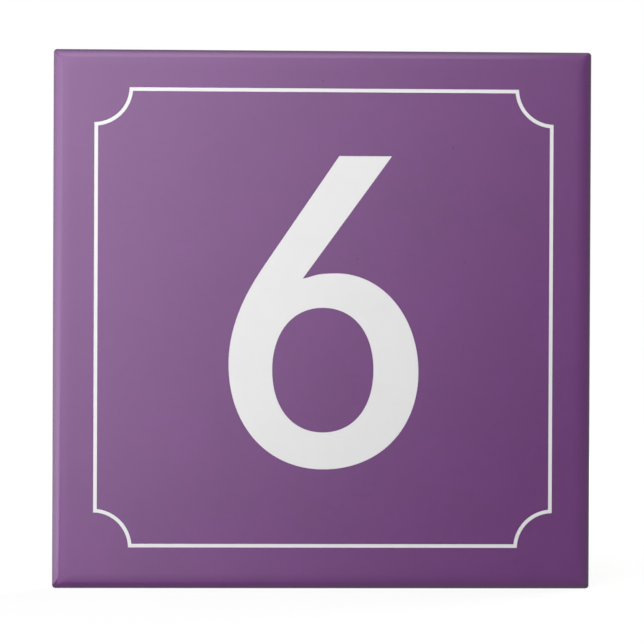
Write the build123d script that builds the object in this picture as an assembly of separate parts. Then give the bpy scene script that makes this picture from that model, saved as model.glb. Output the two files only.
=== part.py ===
from build123d import *
from math import cos, floor, radians, sin
import os

# House-number tile: one pressed and glazed ceramic square with a white number and a thin white border.
# It is drawn lying on its back, x to the right, y up the number, z out of the face, in millimetres.
# It is then stood upright as it hangs: back on the plane y = 0, face towards -y, +z up the number.

# Tile body
tile_side = 152.0  # across the widest line, just under the rounded face edge
tile_thickness = 6.5
face_edge_radius = 3.0  # roll-over from the flat face to the sides
corner_radius = 1.0  # plan corners, tighter than the roll-over
side_draft = 1.5  # degrees that the sides lean in towards the back
back_edge_radius = 0.5

# Key on the back: shallow square pockets between crossed ribs, inside a plain land
key_pitch = 17.0
key_rib = 3.4
key_land = 7.0
key_depth = 0.8
key_corner_cut = 1.6  # the pockets' corners are blunted
key_wall_draft = 35.0  # degrees that the pocket walls open outwards

# Print: fields of colour flush with the face, set a little right of and above its middle
print_depth = 0.1
print_right = 0.35
print_up = 0.46

# Border line with a scoop at each corner
border_side = 129.5
border_line = 1.0
scoop_radius = 10.0
scoop_out = 0.15  # the scoops' centres lie this far outside the border's corners, each way

# Number 6, measured up from its lowest point and sideways from the middle line of the print
number_height = 88.4
number_drop = 42.65  # lowest point below the middle of the print
bowl_width = 53.6
bowl_height = 55.3
bowl_crown_right = 3.6  # top of the bowl, right of the middle line
bowl_left_rise = 29.7  # widest point of the bowl on the left
bowl_right_rise = 27.4  # widest point of the bowl on the right
bowl_fullness = 0.588  # reach of the curve handles, as a share of each quarter
shoulder_fullness = 0.563  # the same, on the quarter between the bowl's top and right
counter_width = 28.6
counter_height = 35.2
counter_rise = 28.0  # centre of the counter
counter_left = 0.2  # the same, left of the middle line
counter_fullness = 0.605
stem_width = 14.85  # along the flat top
stem_top_left = 4.2  # left corner of the flat top, right of the middle line
stem_foot_left = 16.95  # where the stem's left edge starts to bend, left of the middle line
stem_foot_rise = 57.3
stem_foot_reach = 10.6  # curve handle at the stem's foot
flank_reach = 9.8  # curve handle at the bowl's widest point on the left
notch_left = 6.0  # where the stem's right edge runs into the bowl, left of the middle line
notch_rise = 53.8
notch_reach = 3.4  # curve handle at the notch
crown_reach = 6.8  # curve handle at the top of the bowl


def tile_blank():
    """The pressed square without key and print: drafted sides, tight plan corners, rounded edges."""
    draft = radians(side_draft)
    # The roll-over takes this much off the edge where the planes of side and face would meet.
    roll_loss = face_edge_radius * ((1 + sin(draft)) / cos(draft) - 1)
    face_side = tile_side + 2 * roll_loss
    face_plan = Pos(0, 0, tile_thickness) * RectangleRounded(face_side, face_side, corner_radius)
    blank = extrude(face_plan, amount=-tile_thickness, taper=side_draft)
    blank = fillet(blank.faces().sort_by(Axis.Z)[0].edges(), back_edge_radius)
    return fillet(blank.faces().sort_by(Axis.Z)[-1].edges(), face_edge_radius)


def back_key():
    """All pockets of the back, an even number each way so that two ribs cross in the middle."""
    pairs = floor((tile_side / 2 - key_land + key_rib / 2) / key_pitch)
    mouth = key_pitch - key_rib
    opening = Rectangle(mouth, mouth)
    opening = chamfer(opening.vertices(), key_corner_cut)
    pocket = extrude(opening, amount=key_depth, taper=key_wall_draft)
    return GridLocations(key_pitch, key_pitch, 2 * pairs, 2 * pairs) * pocket


def scooped_square(side, radius):
    """A square whose corners are scooped out by circles centred just outside the border's corners."""
    spacing = border_side + 2 * scoop_out
    corners = GridLocations(spacing, spacing, 2, 2)
    return Rectangle(side, side) - corners * Circle(radius)


def border_field():
    """The border line as a flat field, the same width along its sides and round its scoops."""
    outer = scooped_square(border_side, scoop_radius)
    inner = scooped_square(border_side - 2 * border_line, scoop_radius + border_line)
    return outer - inner


def quarter_curve(start, end, leaves_upright, fullness):
    """A quarter of an oval: it leaves start upright or level, and reaches end the other way."""
    reach = (end - start) * fullness
    along = Vector(0, reach.Y) if leaves_upright else Vector(reach.X, 0)
    return Bezier(start, start + along, end - (reach - along), end)


def oval(centre, width, height, fullness):
    """An oval of four quarter curves."""
    left = centre - Vector(width / 2, 0)
    right = centre + Vector(width / 2, 0)
    bottom = centre - Vector(0, height / 2)
    top = centre + Vector(0, height / 2)
    return make_face(
        [
            quarter_curve(left, top, True, fullness),
            quarter_curve(top, right, False, fullness),
            quarter_curve(right, bottom, True, fullness),
            quarter_curve(bottom, left, False, fullness),
        ]
    )


def number_field():
    """The 6 as a flat field: a slanted stem that bends into an oval bowl round an oval counter."""
    stem_left = Vector(stem_top_left, number_height)
    stem_right = stem_left + Vector(stem_width, 0)
    stem_foot = Vector(-stem_foot_left, stem_foot_rise)
    stem_handle = (stem_foot - stem_left).normalized() * stem_foot_reach
    notch = Vector(-notch_left, notch_rise)
    crown = Vector(bowl_crown_right, bowl_height)
    notch_handle = (crown - notch).normalized() * notch_reach
    bowl_left = Vector(-bowl_width / 2, bowl_left_rise)
    bowl_right = Vector(bowl_width / 2, bowl_right_rise)
    bowl_bottom = Vector(0, 0)
    outline = make_face(
        [
            Line(stem_left, stem_right),
            Line(stem_right, notch),
            Bezier(notch, notch + notch_handle, crown - Vector(crown_reach, 0), crown),
            quarter_curve(crown, bowl_right, False, shoulder_fullness),
            quarter_curve(bowl_right, bowl_bottom, True, bowl_fullness),
            quarter_curve(bowl_bottom, bowl_left, False, bowl_fullness),
            Bezier(bowl_left, bowl_left + Vector(0, flank_reach), stem_foot + stem_handle, stem_foot),
            Line(stem_foot, stem_left),
        ]
    )
    counter_centre = Vector(-counter_left, counter_rise)
    counter = oval(counter_centre, counter_width, counter_height, counter_fullness)
    return Pos(0, -number_drop) * (outline - counter)


def inlay(field):
    """A field of colour let into the face, flush with it."""
    return extrude(Pos(print_right, print_up, tile_thickness) * field, amount=-print_depth)


border = inlay(border_field())
number = inlay(number_field())
tile = tile_blank() - back_key() - border - number

os.makedirs("parts", exist_ok=True)
for node, shape in (("tile", tile), ("number", number), ("border", border)):
    export_step(Plane.XZ * shape, f"parts/{node}.step")
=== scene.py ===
from collections import namedtuple
import math

import bmesh
import bpy
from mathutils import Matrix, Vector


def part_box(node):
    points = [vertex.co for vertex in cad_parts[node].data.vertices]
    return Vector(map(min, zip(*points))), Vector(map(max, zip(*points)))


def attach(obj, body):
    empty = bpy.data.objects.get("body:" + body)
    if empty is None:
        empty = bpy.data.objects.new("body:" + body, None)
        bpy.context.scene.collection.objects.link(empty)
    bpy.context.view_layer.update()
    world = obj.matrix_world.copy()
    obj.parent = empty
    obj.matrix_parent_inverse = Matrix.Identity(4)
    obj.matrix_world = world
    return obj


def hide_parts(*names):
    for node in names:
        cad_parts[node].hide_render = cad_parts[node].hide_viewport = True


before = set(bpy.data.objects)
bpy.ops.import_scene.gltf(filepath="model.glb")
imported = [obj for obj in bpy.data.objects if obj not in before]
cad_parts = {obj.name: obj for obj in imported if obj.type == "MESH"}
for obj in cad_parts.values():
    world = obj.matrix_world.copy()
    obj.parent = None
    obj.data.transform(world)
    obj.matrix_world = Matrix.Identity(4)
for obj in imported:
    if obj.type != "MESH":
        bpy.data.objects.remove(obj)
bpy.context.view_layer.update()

bl_info = {
    "name": "Number Tile",
    "version": (1, 0, 0),
    "blender": (4, 5, 0),
    "location": "3D View > Sidebar > Number Tile",
    "description": "Models a glazed ceramic number tile, finishes its white print and sets a plain studio",
    "category": "Add Mesh",
}

# Sizes are in metres. The tile stands upright: back on y = 0, face towards -y, +z up the number.
TILE_LOW, TILE_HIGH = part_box("tile")
TILE_SIDE = TILE_HIGH[0] - TILE_LOW[0]
TILE_THICKNESS = TILE_HIGH[1] - TILE_LOW[1]
RIGHT_ANGLE = math.radians(90)
HAIR = 0.00001  # two places closer than this are the same

# Mesh of the tile
CORNER_STEPS = 10  # round each corner in plan
BACK_EDGE_STEPS = 4
POCKET_CORNER_STEPS = 3
POCKET_EDGE_STEPS = 2
ROUND = 0.5  # profile of a bevel
POCKET_BEND = 0.2  # across a pocket's edge, the normals differ by more than this in depth
SMOOTH_ANGLE = math.radians(40)  # a sharper edge stays sharp

# Glaze and clay
GLAZE_IOR = 1.46
GLAZE_ROUGHNESS = (0.10, 0.16)
CLAY_ROUGHNESS = (0.78, 0.92)
NOISE_RANGE = (0.3, 0.7)  # most of the noise lies between these
SPECKLE = 420.0  # fine clouds a metre, in the glaze and in the print
SPECKLE_SHARE = 0.5  # how much of them lies over the larger clouds
PAINTED_LIGHT_RIGHT, PAINTED_LIGHT_UP = -4.0, 1.2  # painted light: change of the pale share for each metre across and up the face, so the glaze is painted paler towards the upper left and darker towards the lower right
CLOUD_AND_LIGHT_RANGE = (0.25, 1.25)  # from the darker purple to the pale one, for the glaze's clouds and its painted light together
PRINT_RANGE = (0.55, 1.05)  # from white print to clouded
RIM_DARK_START, RIM_DARK_END = 0.0010, 0.0019  # below the face, where the glaze turns darker towards the widest line
RIM_DARK_WANDER = 0.0007
STOP_WANDER = 0.0016  # how far the line where the glaze stops wanders up from its lowest
STOP_SOFT = 0.0001  # half the width in which it stops
PIN_HOLES = ((-0.0002, 0.0674), (0.0367, 0.0488), (0.0401, 0.0164), (0.0097, 0.0173))  # x and z
PIN_CORE, PIN_EDGE = 0.00012, 0.0006  # from the middle of a pin hole
PIN_STRENGTH = 0.45
STAIN_RANGE = (0.52, 1.0)  # from clean clay to stained
STAIN_GRAIN = 0.35  # how much of the clay's grain lies over its stains
GROG_RANGE = (0.67, 0.75)  # from clay to dark grain
GROG_STRENGTH = 0.6
GROG_SHIFT = 0.0003  # in depth, so that ribs and pocket floors get the same share of dark grains

# Heights of the fine relief
SWELL_HEIGHT = 0.000006
PEEL_HEIGHT = 0.0000025
CLAY_HEIGHT = 0.00006
GLAZE_LIP = 0.00012  # the glaze over the clay

# Floor: grey to the light, white to the eye
FLOOR_SIZE = 8.0
FLOOR_PAINT = 0.35  # grey that throws light back on to the tile
FLOOR_VEIL = 0.2  # grey that shows the tile's shadow
FLOOR_GLOW = 0.83  # its own white beside the tile
FLOOR_NEAR, FLOOR_FAR = 0.12, 0.7  # between these distances its own white rises to full

# How a light dims over its own face: a share of its glow at the origin, the change of that share for each
# metre of x, y and z, the power that it is raised to, and limits of x and z outside which it stays level
Fade = namedtuple(
    "Fade", "share change power low_x high_x low_z high_z", defaults=(1.0, None, None, None, None))

# Front light, beside the camera. The flat face mirrors the part between these limits to the camera.
FRONT_PLACE = (0.07, -1.2, -0.165)
FRONT_SIZE = (1.88, 2.47)
MIRRORED_LEFT, MIRRORED_RIGHT = -0.14, 0.219
MIRRORED_FOOT, MIRRORED_TOP = -0.185, 0.163
FRONT_FADES = (
    Fade(0.53, (-1.731, 0.0, 0.904), 1.5, MIRRORED_LEFT, MIRRORED_RIGHT, MIRRORED_FOOT, MIRRORED_TOP),
    Fade(0.989, (0.0, 0.0, -0.368), high_z=MIRRORED_TOP),
    Fade(1.253, (0.0, 0.0, 2.3), low_z=MIRRORED_FOOT),
    Fade(1.2, (0.0, 0.0, 0.714)),
    Fade(1.27, (-1.25, 0.0, 0.0)),
)

# Left and top lights, which give the strips along the rolled edge. They are square to each other and meet.
SIDE_DISTANCE = 0.36  # from the middle of the tile
LEFT_ENDS = (-0.47, 0.185)  # front and back
LEFT_FOOT, LEFT_TOP = -0.131, 0.115
LEFT_FADES = (Fade(0.60, (0.0, -1.9, 0.0)), Fade(1.0, (0.0, 0.0, -1.6)))
LEFT_FOOT_FADE = Fade(4.33, (0.0, 0.0, 33.0))
LEFT_FRONT_FADE = Fade(15.2, (0.0, 33.3, 20.0))
TOP_ENDS = (-0.365, 0.1)  # front and back
TOP_LEFT, TOP_RIGHT = -0.11, 0.1
TOP_FADE = Fade(0.25, (0.0, -3.1, 0.0))
TOP_RIGHT_FADE = Fade(0.80, (-2.9, 0.0, 0.0))
CORNER_SHARE = 0.85  # glow above the upper left corner, as a share of the top light
FAR_RIGHT = 0.24  # right end of the faint light beside the top light
FAR_RIGHT_SHARE = 0.2  # its glow, as a share of the top light
FAR_RIGHT_FADE = Fade(1.45, (-5.0, 0.0, 0.0))

# Back light, turned towards the tile
BACK_PLACE = (0.4, 0.5, 0.25)
BACK_TURN = (math.radians(68.7), 0.0, math.radians(141.3))
BACK_SIZE = (0.5, 0.5)

# Camera
SENSOR_WIDTH = 36.0  # millimetres
CAMERA_NEAR = 0.01


class TileSizes(bpy.types.PropertyGroup):
    """Sizes of the pressed tile"""

    side: bpy.props.FloatProperty(
        name="Side", description="Across the widest line of the tile",
        default=TILE_SIDE, min=0.02, unit="LENGTH", precision=5)
    thickness: bpy.props.FloatProperty(
        name="Thickness", description="From the back to the front of the print",
        default=TILE_THICKNESS, min=0.002, unit="LENGTH", precision=5)
    film: bpy.props.FloatProperty(
        name="Print film", description="How far the print stands above the glaze",
        default=0.00003, min=0.0, unit="LENGTH", precision=6)
    edge_width: bpy.props.FloatProperty(
        name="Edge width", description="How far in from the widest line the face starts to roll over",
        default=0.0044, min=0.0005, unit="LENGTH", precision=5)
    edge_drop: bpy.props.FloatProperty(
        name="Edge drop", description="How far the rolled edge drops from the face to the widest line",
        default=0.0022, min=0.0005, unit="LENGTH", precision=5)
    edge_steps: bpy.props.IntProperty(
        name="Edge steps", description="Rings that make the roll-over", default=20, min=4)
    face_ring: bpy.props.FloatProperty(
        name="Face ring", description="Width of the narrow flat ring where the face starts",
        default=0.0005, min=0.0001, unit="LENGTH", precision=5)
    rim_ring: bpy.props.FloatProperty(
        name="Rim ring", description="Depth of the narrow ring of the sides next to the widest line",
        default=0.0002, min=0.0001, unit="LENGTH", precision=5)
    corner_radius: bpy.props.FloatProperty(
        name="Corner radius", description="Radius of the four corners in plan, on the widest line",
        default=0.001, min=0.0002, unit="LENGTH", precision=5)
    face_corner: bpy.props.FloatProperty(
        name="Face corner", description="Radius of the four corners in plan, where the flat face ends",
        default=0.003, min=0.0002, unit="LENGTH", precision=5)
    draft: bpy.props.FloatProperty(
        name="Draft", description="How far the sides lean in towards the back",
        default=math.radians(1.5), min=0.0, subtype="ANGLE")
    back_radius: bpy.props.FloatProperty(
        name="Back edge radius", description="Radius of the edge round the back",
        default=0.0005, min=0.0001, unit="LENGTH", precision=5)
    glaze_stop: bpy.props.FloatProperty(
        name="Glaze stop", description="From the back to the lowest line that the glaze reaches",
        default=0.00165, min=0.0, unit="LENGTH", precision=5)
    key_count: bpy.props.IntProperty(
        name="Pockets a side", description="Pockets in each row of the keyed back", default=8, min=2)
    key_pitch: bpy.props.FloatProperty(
        name="Key pitch", description="From one pocket to the next",
        default=0.017, min=0.004, unit="LENGTH", precision=5)
    key_rib: bpy.props.FloatProperty(
        name="Key rib", description="Width of the ribs between pockets",
        default=0.0034, min=0.0005, unit="LENGTH", precision=5)
    key_depth: bpy.props.FloatProperty(
        name="Key depth", description="Depth of the pockets",
        default=0.0008, min=0.0002, unit="LENGTH", precision=5)
    key_corner: bpy.props.FloatProperty(
        name="Pocket corner", description="How far the pockets' corners are rounded",
        default=0.0016, min=0.0002, unit="LENGTH", precision=5)
    key_wall: bpy.props.FloatProperty(
        name="Pocket wall", description="How far the pocket walls lean outwards",
        default=math.radians(35), min=0.0, subtype="ANGLE")
    key_soft: bpy.props.FloatProperty(
        name="Pressed softness", description="Rounding along the edges of the pockets",
        default=0.0003, min=0.0, unit="LENGTH", precision=5)


class TileColours(bpy.types.PropertyGroup):
    """Colours of the glaze, the print and the bare clay"""

    # Darker end of the glaze's mix: its darker clouds, and painted shade towards the lower right.
    glaze: bpy.props.FloatVectorProperty(
        name="Glaze", description="Purple of the glaze where it lies thick",
        default=(0.0953, 0.0100, 0.1212), min=0.0, max=1.0, size=3, subtype="COLOR")
    # Paler end of the glaze's mix: its paler clouds, and painted light towards the upper left.
    glaze_pale_and_lit: bpy.props.FloatVectorProperty(
        name="Pale glaze", description="Purple of the glaze in its paler clouds",
        default=(0.1222, 0.0128, 0.1545), min=0.0, max=1.0, size=3, subtype="COLOR")
    # Darker purple over the outer part of the rolled edge, towards its widest line.
    glaze_rim: bpy.props.FloatVectorProperty(
        name="Rim glaze", description="Glaze where it has run thick under the rolled edge",
        default=(0.070, 0.0095, 0.089), min=0.0, max=1.0, size=3, subtype="COLOR")
    pit: bpy.props.FloatVectorProperty(
        name="Pin holes", description="Dark of the tiny pin holes in the glaze",
        default=(0.03, 0.008, 0.035), min=0.0, max=1.0, size=3, subtype="COLOR")
    print_white: bpy.props.FloatVectorProperty(
        name="White print", description="White of the number and the border",
        default=(0.665, 0.665, 0.665), min=0.0, max=1.0, size=3, subtype="COLOR")
    print_cloud: bpy.props.FloatVectorProperty(
        name="Print clouds", description="White of the print where the purple shows through a little",
        default=(0.658, 0.654, 0.659), min=0.0, max=1.0, size=3, subtype="COLOR")
    clay: bpy.props.FloatVectorProperty(
        name="Bare clay", description="Fired clay of the back and the lower sides",
        default=(0.60, 0.53, 0.44), min=0.0, max=1.0, size=3, subtype="COLOR")
    clay_dark: bpy.props.FloatVectorProperty(
        name="Stained clay", description="Fired clay where it is stained or scuffed",
        default=(0.43, 0.37, 0.30), min=0.0, max=1.0, size=3, subtype="COLOR")
    grog: bpy.props.FloatVectorProperty(
        name="Grog", description="Small dark grains in the fired clay",
        default=(0.20, 0.14, 0.09), min=0.0, max=1.0, size=3, subtype="COLOR")


class StageSizes(bpy.types.PropertyGroup):
    """Camera and soft light"""

    lens: bpy.props.FloatProperty(
        name="Lens", description="Focal length of the camera in millimetres", default=177.202, min=10.0)
    eye: bpy.props.FloatVectorProperty(
        name="Camera place", description="Where the camera stands",
        default=(-0.03347, -0.9, 0.00852), size=3, subtype="TRANSLATION")
    turn: bpy.props.FloatVectorProperty(
        name="Camera turn", description="How the camera is turned",
        default=(math.radians(89.4155), math.radians(-0.2484), math.radians(-2.1330)),
        size=3, subtype="EULER")
    fill: bpy.props.FloatProperty(
        name="Fill", description="Soft light from all round", default=0.03, min=0.0)
    left_glow: bpy.props.FloatProperty(
        name="Left light", description="Brightness of the soft light on the left", default=5.0, min=0.0)
    top_glow: bpy.props.FloatProperty(
        name="Top light", description="Brightness of the soft light above", default=4.85, min=0.0)
    front_glow: bpy.props.FloatProperty(
        name="Front light", description="Brightness of the soft light beside the camera",
        default=5.1, min=0.0)
    back_glow: bpy.props.FloatProperty(
        name="Back light", description="Brightness of the soft light behind the tile", default=5.8, min=0.0)


# Modelling helpers

def start_clear():
    """Leaves edit mode and lets go of everything that is selected."""
    if bpy.context.object is not None and bpy.context.object.mode != "OBJECT":
        bpy.ops.object.mode_set(mode="OBJECT")
    bpy.ops.object.select_all(action="DESELECT")


def pick(kind, test):
    """Picks the faces or edges of the shape in edit mode that pass a test, and returns how many."""
    bpy.ops.mesh.select_mode(type=kind)
    bpy.ops.mesh.select_all(action="DESELECT")
    mesh = bpy.context.object.data
    shape = bmesh.from_edit_mesh(mesh)
    count = 0
    for part in shape.faces if kind == "FACE" else shape.edges:
        if test(part):
            part.select_set(True)
            count += 1
    bmesh.update_edit_mesh(mesh)
    return count


def draw_ring(last, level, side, corner):
    """Extrudes the picked cap from the last ring to a new level, and gives its outline a new side
    and a new corner radius."""
    last_level, last_side, last_corner = last
    bpy.ops.mesh.extrude_region_move(TRANSFORM_OT_translate={"value": (0, level - last_level, 0)})
    mesh = bpy.context.object.data
    shape = bmesh.from_edit_mesh(mesh)
    for vert in shape.verts:
        if not vert.select:
            continue
        for axis in (0, 2):
            way = math.copysign(1.0, vert.co[axis])
            along_corner = vert.co[axis] - way * (last_side / 2 - last_corner)
            vert.co[axis] = way * (side / 2 - corner) + along_corner * corner / last_corner
    bmesh.update_edit_mesh(mesh)
    return level, side, corner


# Material helpers

def new_material(name):
    """A fresh material with a principled shader."""
    material = bpy.data.materials.new(name)
    material.use_nodes = True
    tree = material.node_tree
    tree.nodes.clear()
    output = tree.nodes.new("ShaderNodeOutputMaterial")
    shader = tree.nodes.new("ShaderNodeBsdfPrincipled")
    tree.links.new(shader.outputs["BSDF"], output.inputs["Surface"])
    return material, tree, shader


def feed(tree, socket, value):
    """Links a socket to another, or sets its value."""
    if isinstance(value, bpy.types.NodeSocket):
        tree.links.new(value, socket)
    else:
        socket.default_value = value


def noise(tree, where, scale, detail=2.0, rough=0.5):
    """Cloudy noise between 0 and 1, its scale in clouds a metre."""
    node = tree.nodes.new("ShaderNodeTexNoise")
    feed(tree, node.inputs["Vector"], where)
    node.inputs["Scale"].default_value = scale
    node.inputs["Detail"].default_value = detail
    node.inputs["Roughness"].default_value = rough
    return node.outputs["Fac"]


def spread(tree, value, low, high, to_low=0.0, to_high=1.0, smooth=True):
    """Stretches a value from one range to another."""
    node = tree.nodes.new("ShaderNodeMapRange")
    node.interpolation_type = "SMOOTHSTEP" if smooth else "LINEAR"
    feed(tree, node.inputs["Value"], value)
    feed(tree, node.inputs["From Min"], low)
    feed(tree, node.inputs["From Max"], high)
    feed(tree, node.inputs["To Min"], to_low)
    feed(tree, node.inputs["To Max"], to_high)
    return node.outputs["Result"]


def sums(tree, work, *values):
    """One step of arithmetic."""
    node = tree.nodes.new("ShaderNodeMath")
    node.operation = work
    for socket, value in zip(node.inputs, values):
        feed(tree, socket, value)
    return node.outputs["Value"]


def hold(tree, value, low, high):
    """Keeps a value between two limits, where they are given."""
    if low is not None:
        value = sums(tree, "MAXIMUM", value, low)
    if high is not None:
        value = sums(tree, "MINIMUM", value, high)
    return value


def grey(level):
    """A grey, as a shader takes it."""
    return level, level, level, 1.0


def blend_colour(tree, share, first, second):
    """Goes from one colour to another."""
    node = tree.nodes.new("ShaderNodeMix")
    node.data_type = "RGBA"
    feed(tree, node.inputs[0], share)
    feed(tree, node.inputs[6], first if isinstance(first, bpy.types.NodeSocket) else (*first, 1.0))
    feed(tree, node.inputs[7], second if isinstance(second, bpy.types.NodeSocket) else (*second, 1.0))
    return node.outputs[2]


def blend_value(tree, share, first, second):
    """Goes from one number to another."""
    node = tree.nodes.new("ShaderNodeMix")
    node.data_type = "FLOAT"
    feed(tree, node.inputs[0], share)
    feed(tree, node.inputs[2], first)
    feed(tree, node.inputs[3], second)
    return node.outputs[0]


def raise_bumps(tree, height, distance, under=None):
    """Fine relief from a height between 0 and 1; distance is the height of 1 in metres."""
    node = tree.nodes.new("ShaderNodeBump")
    node.inputs["Strength"].default_value = 1.0
    node.inputs["Distance"].default_value = distance
    feed(tree, node.inputs["Height"], height)
    if under is not None:
        feed(tree, node.inputs["Normal"], under)
    return node.outputs["Normal"]


def object_place(tree):
    """Place on the object, in metres, and its three parts."""
    where = tree.nodes.new("ShaderNodeTexCoord").outputs["Object"]
    parts = tree.nodes.new("ShaderNodeSeparateXYZ")
    tree.links.new(where, parts.inputs["Vector"])
    return where, parts.outputs["X"], parts.outputs["Y"], parts.outputs["Z"]


def vector_work(tree, work, where, other=None):
    """One step of arithmetic on a place, and a second place where the step needs one."""
    node = tree.nodes.new("ShaderNodeVectorMath")
    node.operation = work
    tree.links.new(where, node.inputs[0])
    if other is not None:
        node.inputs[1].default_value = other
    return node


# Glaze, print and clay

def glaze_relief(tree, where, under=None):
    """The slightly uneven skin of a fired glaze, the same on the purple and on the print."""
    swell = noise(tree, where, scale=150.0, detail=1.0)
    peel = noise(tree, where, scale=620.0)
    swell_normal = raise_bumps(tree, swell, SWELL_HEIGHT, under)
    return raise_bumps(tree, peel, PEEL_HEIGHT, swell_normal)


def glaze_roughness(tree, speckle):
    """Roughness of the glaze, which follows its fine clouds."""
    return spread(tree, speckle, *NOISE_RANGE, *GLAZE_ROUGHNESS)


def with_speckle(tree, clouds, speckle):
    """Clouds with a share of the fine ones on top."""
    return sums(tree, "ADD", clouds, sums(tree, "MULTIPLY", speckle, SPECKLE_SHARE))


def purple_glaze(tree, place, speckle, face, colours):
    """Cloudy purple with painted light, paler towards the upper left and darker towards the lower right;
    darker towards the rolled edge's widest line and in the pin holes.
    """
    where, right, depth, up = place
    clouds_and_painted_light = with_speckle(tree, noise(tree, where, scale=45.0, detail=3.0), speckle)
    # Painted light: the share of pale purple rises towards the upper left, where the light falls, and drops
    # towards the lower right.
    clouds_and_painted_light = sums(tree, "MULTIPLY_ADD", right, PAINTED_LIGHT_RIGHT, clouds_and_painted_light)
    clouds_and_painted_light = sums(tree, "MULTIPLY_ADD", up, PAINTED_LIGHT_UP, clouds_and_painted_light)
    pale_and_lit = spread(tree, clouds_and_painted_light, *CLOUD_AND_LIGHT_RANGE, smooth=False)
    glaze = blend_colour(tree, pale_and_lit, colours.glaze, colours.glaze_pale_and_lit)

    # Darker purple over the outer part of the rolled edge, towards its widest line.
    wander = sums(tree, "MULTIPLY", noise(tree, where, scale=260.0), RIM_DARK_WANDER)
    run = spread(tree, sums(tree, "ADD", depth, wander), face + RIM_DARK_START, face + RIM_DARK_END)
    glaze = blend_colour(tree, run, glaze, colours.glaze_rim)

    pit = 0.0
    for x, z in PIN_HOLES:
        away = vector_work(tree, "DISTANCE", where, (x, face, z)).outputs["Value"]
        pit = sums(tree, "MAXIMUM", spread(tree, away, PIN_CORE, PIN_EDGE, 1.0, 0.0), pit)
    return blend_colour(tree, sums(tree, "MULTIPLY", pit, PIN_STRENGTH), glaze, colours.pit)


def fired_clay(tree, where, grain, colours):
    """Bare fired clay, stained in clouds, with small dark grains."""
    stains = noise(tree, where, scale=38.0, detail=4.0, rough=0.6)
    stains = sums(tree, "ADD", stains, sums(tree, "MULTIPLY", grain, STAIN_GRAIN))
    clay = blend_colour(tree, spread(tree, stains, *STAIN_RANGE), colours.clay, colours.clay_dark)
    moved = vector_work(tree, "ADD", where, (0.0, GROG_SHIFT, 0.0)).outputs["Vector"]
    specks = spread(tree, noise(tree, moved, scale=900.0, detail=1.0), *GROG_RANGE, 0.0, GROG_STRENGTH)
    return blend_colour(tree, specks, clay, colours.grog)


def glazed_clay(colours, sizes):
    """Purple glaze over the face and its rounded edge, bare fired clay below it and on the back."""
    material, tree, shader = new_material("purple_glaze_on_clay")
    place = object_place(tree)
    where, _, depth, _ = place
    speckle = noise(tree, where, scale=SPECKLE)
    grain = noise(tree, where, scale=2600.0, detail=3.0, rough=0.6)
    glaze = purple_glaze(tree, place, speckle, -sizes.thickness + sizes.film, colours)
    clay = fired_clay(tree, where, grain, colours)

    wander = sums(tree, "MULTIPLY", noise(tree, where, scale=130.0, detail=3.0), STOP_WANDER)
    line = sums(tree, "ADD", depth, wander)
    bare = spread(tree, line, -sizes.glaze_stop - STOP_SOFT, -sizes.glaze_stop + STOP_SOFT)

    feed(tree, shader.inputs["Base Color"], blend_colour(tree, bare, glaze, clay))
    clay_rough = spread(tree, grain, *NOISE_RANGE, *CLAY_ROUGHNESS)
    rough = blend_value(tree, bare, glaze_roughness(tree, speckle), clay_rough)
    feed(tree, shader.inputs["Roughness"], rough)
    shader.inputs["IOR"].default_value = GLAZE_IOR
    clay_normal = raise_bumps(tree, sums(tree, "MULTIPLY", grain, bare), CLAY_HEIGHT)
    lip_normal = raise_bumps(tree, sums(tree, "SUBTRACT", 1.0, bare), GLAZE_LIP, clay_normal)
    feed(tree, shader.inputs["Normal"], glaze_relief(tree, where, lip_normal))
    return material


def glossy_print(colours):
    """White print fired into the glaze, with the glaze's own skin over it."""
    material, tree, shader = new_material("white_print_in_glaze")
    where = object_place(tree)[0]
    speckle = noise(tree, where, scale=SPECKLE)
    clouds = with_speckle(tree, noise(tree, where, scale=90.0, detail=3.0), speckle)
    clouded = spread(tree, clouds, *PRINT_RANGE)
    white = blend_colour(tree, clouded, colours.print_white, colours.print_cloud)
    feed(tree, shader.inputs["Base Color"], white)
    feed(tree, shader.inputs["Roughness"], glaze_roughness(tree, speckle))
    shader.inputs["IOR"].default_value = GLAZE_IOR
    feed(tree, shader.inputs["Normal"], glaze_relief(tree, where))
    return material


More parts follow.
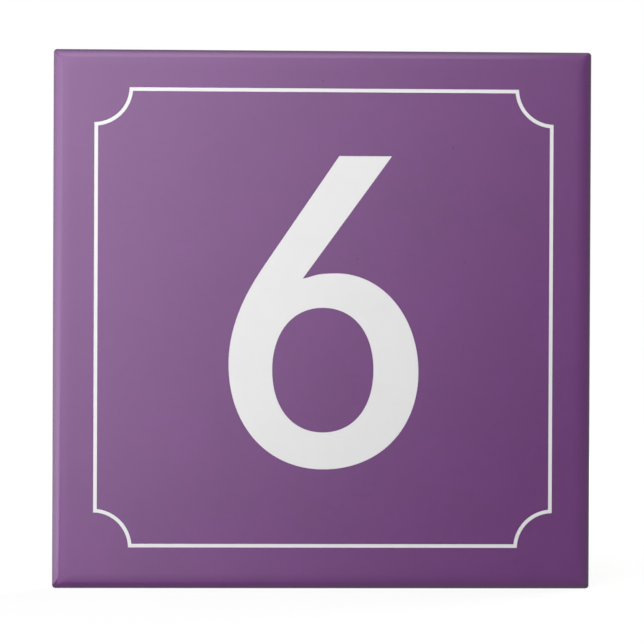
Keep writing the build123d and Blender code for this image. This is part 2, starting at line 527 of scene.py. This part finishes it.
class NUMBER_TILE_OT_make_tile(bpy.types.Operator):
    """Models the pressed tile: rolled face edge, drafted sides and a keyed back"""

    bl_idname = "number_tile.make_tile"
    bl_label = "Make Tile"

    def execute(self, context):
        sizes = context.scene.number_tile_sizes
        start_clear()
        rim = -sizes.thickness + sizes.film + sizes.edge_drop
        bpy.ops.mesh.primitive_plane_add(
            size=sizes.side, location=(0, rim, 0), rotation=(RIGHT_ANGLE, 0, 0))
        tile = context.object
        tile.name = "glazed_tile"
        tile.data.name = "glazed_tile"
        bpy.ops.object.transform_apply(location=True, rotation=True, scale=True)

        bpy.ops.object.mode_set(mode="EDIT")
        self.roll_face_edge(sizes, rim)
        self.draw_sides(sizes, rim)
        self.press_key(sizes)
        bpy.ops.mesh.select_all(action="SELECT")
        bpy.ops.mesh.normals_make_consistent(inside=False)
        bpy.ops.object.mode_set(mode="OBJECT")

        bpy.ops.object.shade_smooth_by_angle(angle=SMOOTH_ANGLE)
        bpy.ops.object.modifier_add(type="WEIGHTED_NORMAL")
        tile.modifiers[-1].keep_sharp = True
        bpy.ops.object.modifier_apply(modifier=tile.modifiers[-1].name)

        tile.data.materials.clear()
        tile.data.materials.append(glazed_clay(context.scene.number_tile_colours, sizes))
        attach(tile, "root")
        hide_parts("tile")
        return {"FINISHED"}

    def roll_face_edge(self, sizes, rim):
        """Tight corners on the widest line, the roll-over from there up to the flat face, and a narrow
        flat ring inside it."""
        bpy.ops.mesh.select_all(action="SELECT")
        bpy.ops.mesh.bevel(
            affect="VERTICES", offset=sizes.corner_radius, segments=CORNER_STEPS, profile=ROUND)
        pick("FACE", lambda part: True)
        ring = (rim, sizes.side, sizes.corner_radius)
        corner_growth = sizes.face_corner - sizes.corner_radius
        for step in range(1, sizes.edge_steps + 1):
            turn = RIGHT_ANGLE * step / sizes.edge_steps
            inward = 1 - math.cos(turn)
            ring = draw_ring(ring, rim - sizes.edge_drop * math.sin(turn),
                             sizes.side - 2 * sizes.edge_width * inward,
                             sizes.corner_radius + corner_growth * inward ** 2)
        level, side, corner = ring
        draw_ring(ring, level, side - 2 * sizes.face_ring, corner)

    def draw_sides(self, sizes, rim):
        """Sides from the widest line down to the back, leaning in, and the rounded edge of the back. The
        back is left open."""
        def on_rim(part):
            return len(part.verts) > 4 and abs(part.calc_center_median().y - rim) < HAIR

        if pick("FACE", on_rim) != 1:
            raise RuntimeError("the open side of the tile was not found")
        lean = math.tan(sizes.draft)
        edge_level = -sizes.back_radius
        foot_side = sizes.side - 2 * lean * (edge_level - rim)
        rings = [(rim + sizes.rim_ring, sizes.side - 2 * lean * sizes.rim_ring), (edge_level, foot_side)]
        for step in range(1, BACK_EDGE_STEPS + 1):
            turn = RIGHT_ANGLE * step / BACK_EDGE_STEPS
            rings.append((edge_level + sizes.back_radius * math.sin(turn),
                          foot_side - 2 * sizes.back_radius * (1 - math.cos(turn))))
        ring = (rim, sizes.side, sizes.corner_radius)
        for level, side in rings:
            ring = draw_ring(ring, level, side, sizes.corner_radius)
        bpy.ops.mesh.delete(type="ONLY_FACE")

    def press_key(self, sizes):
        """Key on the back: a grid of pockets with sloping walls and softened edges, joined to the sides."""
        bpy.ops.mesh.select_mode(type="FACE")
        bpy.ops.mesh.select_all(action="DESELECT")
        field = sizes.key_count * sizes.key_pitch
        bpy.ops.mesh.primitive_grid_add(
            x_subdivisions=sizes.key_count, y_subdivisions=sizes.key_count, size=field,
            location=(0, 0, 0), rotation=(-RIGHT_ANGLE, 0, 0))
        bpy.ops.mesh.inset(thickness=sizes.key_rib / 2, depth=0, use_individual=True)
        wall = sizes.key_depth * math.tan(sizes.key_wall)
        bpy.ops.mesh.inset(thickness=wall, depth=-sizes.key_depth, use_individual=True)

        def in_field(part):
            return all(abs(vert.co.x) < field / 2 - HAIR and abs(vert.co.z) < field / 2 - HAIR
                       and vert.co.y > -1.5 * sizes.key_depth for vert in part.verts)

        def pocket_corner(part):
            first, last = part.verts
            return in_field(part) and abs(first.co.y - last.co.y) > sizes.key_depth / 2

        def pocket_edge(part):
            if not in_field(part) or len(part.link_faces) != 2:
                return False
            first, last = part.link_faces
            return abs(first.normal.y - last.normal.y) > POCKET_BEND

        pick("EDGE", pocket_corner)
        bpy.ops.mesh.bevel(
            affect="EDGES", offset=sizes.key_corner, segments=POCKET_CORNER_STEPS, profile=ROUND)
        pick("EDGE", pocket_edge)
        bpy.ops.mesh.bevel(
            affect="EDGES", offset=sizes.key_soft, segments=POCKET_EDGE_STEPS, profile=ROUND)
        pick("EDGE", lambda part: part.is_boundary)
        bpy.ops.mesh.bridge_edge_loops()


class NUMBER_TILE_OT_finish_print(bpy.types.Operator):
    """Gives the number and the border their glossy white"""

    bl_idname = "number_tile.finish_print"
    bl_label = "Finish Print"

    def execute(self, context):
        white = glossy_print(context.scene.number_tile_colours)
        for name in ("number", "border"):
            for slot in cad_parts[name].material_slots:
                slot.material = white
        return {"FINISHED"}


class NUMBER_TILE_OT_set_stage(bpy.types.Operator):
    """Sets the pale floor, the soft light and the camera"""

    bl_idname = "number_tile.set_stage"
    bl_label = "Set Stage"

    def execute(self, context):
        stage = context.scene.number_tile_stage
        start_clear()
        self.lay_floor()
        self.fill_world(context.scene, stage.fill)
        self.hang_lights(stage)
        self.place_camera(context.scene, stage)
        context.scene.view_settings.view_transform = "Standard"
        return {"FINISHED"}

    def lay_floor(self):
        """A pale floor under the tile's lower edge."""
        bpy.ops.mesh.primitive_plane_add(size=FLOOR_SIZE, location=(0, 0, TILE_LOW[2]))
        floor = bpy.context.object
        floor.name = "floor"
        bpy.ops.object.transform_apply(location=True, rotation=True, scale=True)
        floor.data.materials.append(self.pale_floor())
        floor.visible_glossy = False

    def pale_floor(self):
        """Floor that keeps the tile's shadow near its foot, and is full white farther off."""
        material = bpy.data.materials.new("pale_floor")
        material.use_nodes = True
        tree = material.node_tree
        tree.nodes.clear()
        output = tree.nodes.new("ShaderNodeOutputMaterial")
        paint = tree.nodes.new("ShaderNodeBsdfDiffuse")
        paint.inputs["Color"].default_value = grey(FLOOR_PAINT)
        veil = tree.nodes.new("ShaderNodeBsdfDiffuse")
        veil.inputs["Color"].default_value = grey(FLOOR_VEIL)
        white = tree.nodes.new("ShaderNodeEmission")
        white.inputs["Color"].default_value = grey(1.0)
        away = vector_work(tree, "LENGTH", object_place(tree)[0]).outputs["Value"]
        feed(tree, white.inputs["Strength"], spread(tree, away, FLOOR_NEAR, FLOOR_FAR, FLOOR_GLOW, 1.0))
        both = tree.nodes.new("ShaderNodeAddShader")
        tree.links.new(veil.outputs["BSDF"], both.inputs[0])
        tree.links.new(white.outputs["Emission"], both.inputs[1])
        mix = tree.nodes.new("ShaderNodeMixShader")
        tree.links.new(self.seen(tree), mix.inputs["Fac"])
        tree.links.new(paint.outputs["BSDF"], mix.inputs[1])
        tree.links.new(both.outputs["Shader"], mix.inputs[2])
        tree.links.new(mix.outputs["Shader"], output.inputs["Surface"])
        return material

    def seen(self, tree):
        """1 for a ray that shows the background: seen straight, in a reflection or through glass."""
        path = tree.nodes.new("ShaderNodeLightPath")
        first = sums(tree, "MAXIMUM", path.outputs["Is Camera Ray"], path.outputs["Is Glossy Ray"])
        return sums(tree, "MAXIMUM", first, path.outputs["Is Transmission Ray"])

    def fill_world(self, scene, fill):
        """A white background and a soft fill."""
        world = bpy.data.worlds.new("white_room")
        world.use_nodes = True
        tree = world.node_tree
        tree.nodes.clear()
        output = tree.nodes.new("ShaderNodeOutputWorld")
        soft = tree.nodes.new("ShaderNodeBackground")
        soft.inputs["Strength"].default_value = fill
        soft.inputs["Color"].default_value = grey(1.0)
        white = tree.nodes.new("ShaderNodeBackground")
        white.inputs["Color"].default_value = grey(1.0)
        white.inputs["Strength"].default_value = 1.0
        mix = tree.nodes.new("ShaderNodeMixShader")
        tree.links.new(self.seen(tree), mix.inputs["Fac"])
        tree.links.new(soft.outputs["Background"], mix.inputs[1])
        tree.links.new(white.outputs["Background"], mix.inputs[2])
        tree.links.new(mix.outputs["Shader"], output.inputs["Surface"])
        scene.world = world

    def hang_lights(self, stage):
        """All the soft lights. The corner lights and the one at the far right show only in reflections, and
        the back light shows in none."""
        self.hang_light("front_light", FRONT_PLACE, (RIGHT_ANGLE, 0, 0), FRONT_SIZE,
                        stage.front_glow, FRONT_FADES)
        self.hang_left("left_light", (LEFT_FOOT, LEFT_TOP), stage.left_glow,
                       (*LEFT_FADES, LEFT_FOOT_FADE, LEFT_FRONT_FADE))
        self.hang_above("top_light", (TOP_LEFT, TOP_RIGHT), stage.top_glow, (TOP_FADE, TOP_RIGHT_FADE))
        self.hang_left("corner_left_light", (LEFT_TOP, SIDE_DISTANCE), stage.left_glow,
                       LEFT_FADES, diffuse=False)
        self.hang_above("corner_top_light", (-SIDE_DISTANCE, TOP_LEFT), CORNER_SHARE * stage.top_glow,
                        (TOP_FADE,), diffuse=False)
        self.hang_above("right_top_light", (TOP_RIGHT, FAR_RIGHT), FAR_RIGHT_SHARE * stage.top_glow,
                        (FAR_RIGHT_FADE,), diffuse=False)
        self.hang_light("back_light", BACK_PLACE, BACK_TURN, BACK_SIZE, stage.back_glow, (), glossy=False)

    def hang_left(self, name, heights, glow, fades, diffuse=True):
        """A soft light on the left, between two heights."""
        foot, top = heights
        front, back = LEFT_ENDS
        place = (-SIDE_DISTANCE, (front + back) / 2, (foot + top) / 2)
        self.hang_light(name, place, (0, -RIGHT_ANGLE, 0), (top - foot, back - front), glow, fades, diffuse)

    def hang_above(self, name, sides, glow, fades, diffuse=True):
        """A soft light above, between its left and its right side."""
        left, right = sides
        front, back = TOP_ENDS
        place = ((left + right) / 2, (front + back) / 2, SIDE_DISTANCE)
        self.hang_light(name, place, (0, 0, 0), (right - left, back - front), glow, fades, diffuse)

    def hang_light(self, name, place, turn, size, glow, fades, diffuse=True, glossy=True):
        """A soft box of light that the camera doesn't see, dimmed by its fades."""
        bpy.ops.object.light_add(type="AREA", location=place, rotation=turn)
        lamp = bpy.context.object
        lamp.name = name
        lamp.visible_camera = False
        lamp.visible_diffuse = diffuse
        lamp.visible_glossy = glossy
        light = lamp.data
        light.shape = "RECTANGLE"
        light.size, light.size_y = size
        light.energy = glow * math.pi * size[0] * size[1]
        light.use_nodes = True
        emission = light.node_tree.nodes["Emission"]
        feed(light.node_tree, emission.inputs["Strength"], self.dim(light.node_tree, fades))

    def dim(self, tree, fades):
        """Share of its glow that a light gives at each place on its face, all its fades taken together."""
        where = tree.nodes.new("ShaderNodeNewGeometry").outputs["Position"]
        parts = tree.nodes.new("ShaderNodeSeparateXYZ")
        tree.links.new(where, parts.inputs["Vector"])
        x, y, z = parts.outputs
        share = 1.0
        for fade in fades:
            held_x = hold(tree, x, fade.low_x, fade.high_x)
            held_z = hold(tree, z, fade.low_z, fade.high_z)
            level = fade.share
            for part, change in zip((held_x, y, held_z), fade.change):
                level = sums(tree, "MULTIPLY_ADD", part, change, level)
            level = sums(tree, "POWER", spread(tree, level, 0.0, 1.0, smooth=False), fade.power)
            share = sums(tree, "MULTIPLY", level, share)
        return share

    def place_camera(self, scene, stage):
        """The camera, at the photograph's viewing angle."""
        bpy.ops.object.camera_add(location=stage.eye, rotation=stage.turn)
        camera = bpy.context.object
        camera.name = "camera"
        camera.data.lens = stage.lens
        camera.data.sensor_width = SENSOR_WIDTH
        camera.data.sensor_fit = "HORIZONTAL"
        camera.data.clip_start = CAMERA_NEAR
        scene.camera = camera


class NUMBER_TILE_PT_panel(bpy.types.Panel):
    """Sizes, colours and steps of the number tile"""

    bl_idname = "NUMBER_TILE_PT_panel"
    bl_label = "Number Tile"
    bl_space_type = "VIEW_3D"
    bl_region_type = "UI"
    bl_category = "Number Tile"

    def draw(self, context):
        layout = self.layout
        for group in (context.scene.number_tile_sizes, context.scene.number_tile_colours,
                      context.scene.number_tile_stage):
            box = layout.box()
            for name in group.__annotations__:
                box.prop(group, name)
        layout.operator(NUMBER_TILE_OT_make_tile.bl_idname)
        layout.operator(NUMBER_TILE_OT_finish_print.bl_idname)
        layout.operator(NUMBER_TILE_OT_set_stage.bl_idname)


CLASSES = (
    TileSizes,
    TileColours,
    StageSizes,
    NUMBER_TILE_OT_make_tile,
    NUMBER_TILE_OT_finish_print,
    NUMBER_TILE_OT_set_stage,
    NUMBER_TILE_PT_panel,
)


def register():
    for item in CLASSES:
        bpy.utils.register_class(item)
    bpy.types.Scene.number_tile_sizes = bpy.props.PointerProperty(type=TileSizes)
    bpy.types.Scene.number_tile_colours = bpy.props.PointerProperty(type=TileColours)
    bpy.types.Scene.number_tile_stage = bpy.props.PointerProperty(type=StageSizes)


def unregister():
    del bpy.types.Scene.number_tile_stage
    del bpy.types.Scene.number_tile_colours
    del bpy.types.Scene.number_tile_sizes
    for item in reversed(CLASSES):
        bpy.utils.unregister_class(item)


def main():
    register()
    bpy.ops.number_tile.make_tile()
    bpy.ops.number_tile.finish_print()
    bpy.ops.number_tile.set_stage()


if __name__ == "__main__":
    main()
